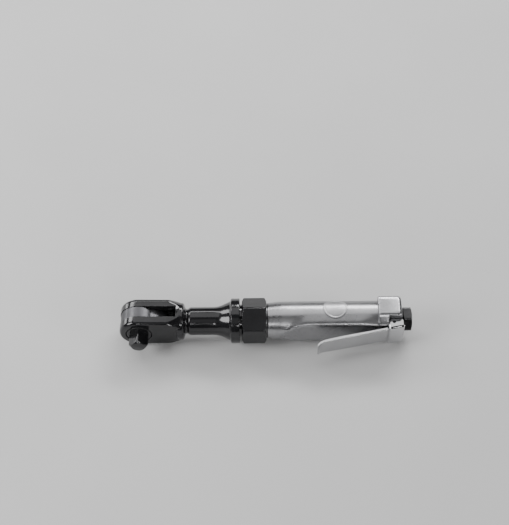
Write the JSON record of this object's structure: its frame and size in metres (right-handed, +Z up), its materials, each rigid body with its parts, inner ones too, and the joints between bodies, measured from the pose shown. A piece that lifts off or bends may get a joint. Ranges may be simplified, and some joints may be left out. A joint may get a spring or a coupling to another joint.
{
  "type": "air ratchet",
  "caption": "Inline air ratchet with a forked head, square drive, hex coupling, round aluminium grip and a chrome squeeze lever at the inlet end.",
  "frame": {"origin": "centre of the end face of the square drive", "axes": "+X along the tool from the head to the air inlet; the square drive points to -Y; +Z up with the tool lying on its side"},
  "size_m": [0.2611, 0.0524, 0.0408],
  "materials": {
    "black_steel": "gloss black, lightly worn at the edges",
    "bright_steel": "ground",
    "dark_steel": "heat-treated grey",
    "satin_aluminium": "satin silver, lightly scuffed",
    "chrome": "polished",
    "bronze": "plain",
    "vane_resin": "woven resin laminate",
    "rubber": "matt",
    "badge_metal": "blank satin badge"
  },
  "bodies": {
    "tool_body": {"ratchet_housing": "black_steel", "anvil_thrust_washer": "bright_steel", "anvil_snap_ring": "dark_steel", "crank_bearing_front": "bright_steel", "crank_bearing_spacer": "dark_steel", "crank_bearing_rear": "bright_steel", "crank_thrust_washer": "bronze", "ring_gear": "dark_steel", "gear_spacer": "dark_steel", "coupling_nut": "black_steel", "front_bearing_outer_race": "bright_steel", "rear_bearing_outer_race": "bright_steel", "motor_front_plate": "dark_steel", "motor_rear_plate": "dark_steel", "motor_cylinder": "dark_steel", "motor_dowel": "bright_steel", "motor_housing": "satin_aluminium", "name_badge": "badge_metal", "plunger_bushing": "bronze", "valve_seat": "bronze", "valve_spring": "bright_steel", "inlet_bushing": "black_steel", "inlet_o_ring": "rubber", "inlet_screen": "bronze", "lever_pin": "dark_steel"},
    "yoke": {"ratchet_yoke": "dark_steel"},
    "anvil": {"drive_anvil": "black_steel", "pawl_upper_pin": "dark_steel", "pawl_lower_pin": "dark_steel", "socket_ball": "bright_steel", "socket_ball_spring": "bright_steel"},
    "upper_pawl": {"pawl_upper": "bright_steel"},
    "lower_pawl": {"pawl_lower": "bright_steel"},
    "reverse_knob_set": {"reverse_knob": "black_steel", "pawl_plunger_upper": "bright_steel", "pawl_plunger_lower": "bright_steel", "pawl_spring": "bright_steel"},
    "crank": {"crankshaft": "dark_steel", "planet_pin_1": "dark_steel", "planet_pin_2": "dark_steel", "planet_pin_3": "dark_steel"},
    "bush": {"crank_bush": "bright_steel"},
    "planet_1": {"planet_gear_1": "bright_steel"},
    "planet_2": {"planet_gear_2": "bright_steel"},
    "planet_3": {"planet_gear_3": "bright_steel"},
    "motor_rotor": {"rotor": "bright_steel", "motor_vane_1": "vane_resin", "motor_vane_2": "vane_resin", "motor_vane_3": "vane_resin", "motor_vane_4": "vane_resin", "motor_vane_5": "vane_resin", "front_bearing_inner_race": "bright_steel", "rear_bearing_inner_race": "bright_steel"},
    "front_cage": {"front_bearing_ball_cage": "bronze"},
    "rear_cage": {"rear_bearing_ball_cage": "bronze"},
    "lever": {"throttle_lever": "chrome"},
    "plunger": {"valve_plunger": "bright_steel"},
    "valve": {"throttle_valve": "bright_steel"}
  },
  "joints": [
    {"name": "anvil_spin", "type": "hinge", "parent": "tool_body", "child": "anvil", "pos_m": [0, 0.0266, 0], "axis": [0, 1, 0], "continuous": true},
    {"name": "reverse_turn", "type": "hinge", "parent": "anvil", "child": "reverse_knob_set", "pos_m": [0, 0.0266, 0], "axis": [0, 1, 0], "range_deg": [0, 70]},
    {"name": "pawl_upper_tilt", "type": "hinge", "parent": "anvil", "child": "upper_pawl", "pos_m": [0, 0.0266, 0.008], "axis": [0, 1, 0], "range_deg": [-7, 0]},
    {"name": "pawl_lower_tilt", "type": "hinge", "parent": "anvil", "child": "lower_pawl", "pos_m": [0, 0.0266, -0.008], "axis": [0, 1, 0], "range_deg": [-7, 0]},
    {"name": "yoke_rock", "type": "hinge", "parent": "tool_body", "child": "yoke", "pos_m": [0, 0.0266, 0], "axis": [0, -1, 0], "range_deg": [0, 10.26]},
    {"name": "crank_spin", "type": "hinge", "parent": "tool_body", "child": "crank", "pos_m": [0.05, 0.0266, 0], "axis": [1, 0, 0], "continuous": true},
    {"name": "bush_spin", "type": "hinge", "parent": "crank", "child": "bush", "pos_m": [0.025, 0.0266, -0.0022], "axis": [1, 0, 0], "continuous": true},
    {"name": "planet_1_spin", "type": "hinge", "parent": "crank", "child": "planet_1", "pos_m": [0.089, 0.0266, 0.00744], "axis": [1, 0, 0], "continuous": true},
    {"name": "planet_2_spin", "type": "hinge", "parent": "crank", "child": "planet_2", "pos_m": [0.089, 0.02016, -0.00372], "axis": [1, 0, 0], "continuous": true},
    {"name": "planet_3_spin", "type": "hinge", "parent": "crank", "child": "planet_3", "pos_m": [0.089, 0.03304, -0.00372], "axis": [1, 0, 0], "continuous": true},
    {"name": "rotor_spin", "type": "hinge", "parent": "tool_body", "child": "motor_rotor", "pos_m": [0.13, 0.0266, 0], "axis": [1, 0, 0], "continuous": true},
    {"name": "front_cage_spin", "type": "hinge", "parent": "tool_body", "child": "front_cage", "pos_m": [0.10785, 0.0266, 0], "axis": [1, 0, 0], "continuous": true},
    {"name": "rear_cage_spin", "type": "hinge", "parent": "tool_body", "child": "rear_cage", "pos_m": [0.163, 0.0266, 0], "axis": [1, 0, 0], "continuous": true},
    {"name": "lever_squeeze", "type": "hinge", "parent": "tool_body", "child": "lever", "pos_m": [0.2267, 0.0154, 0], "axis": [0, 0, -1], "range_deg": [0, 9], "stiffness_Nm_per_rad": 2, "springref_deg": -5.73},
    {"name": "plunger_slide", "type": "slide", "parent": "tool_body", "child": "plunger", "axis": [0, 1, 0], "range_m": [0, 0.0022]},
    {"name": "valve_tilt", "type": "hinge", "parent": "tool_body", "child": "valve", "pos_m": [0.2199, 0.0216, 0], "axis": [0, 0, -1], "range_deg": [0, 18.2], "deforming": ["valve_spring"]}
  ],
  "couplings": [
    {"joint": "pawl_upper_tilt", "follows": "reverse_turn", "ratio": -0.1},
    {"joint": "pawl_lower_tilt", "follows": "reverse_turn", "ratio": -0.1},
    {"joint": "bush_spin", "follows": "crank_spin", "ratio": -1},
    {"joint": "planet_1_spin", "follows": "crank_spin", "ratio": -3},
    {"joint": "planet_2_spin", "follows": "crank_spin", "ratio": -3},
    {"joint": "planet_3_spin", "follows": "crank_spin", "ratio": -3},
    {"joint": "rotor_spin", "follows": "crank_spin", "ratio": 4},
    {"joint": "front_cage_spin", "follows": "crank_spin", "ratio": 1.6053},
    {"joint": "rear_cage_spin", "follows": "crank_spin", "ratio": 1.641},
    {"joint": "plunger_slide", "follows": "lever_squeeze", "m_per_rad": 0.0137},
    {"joint": "valve_tilt", "follows": "lever_squeeze", "ratio": 2}
  ]
}
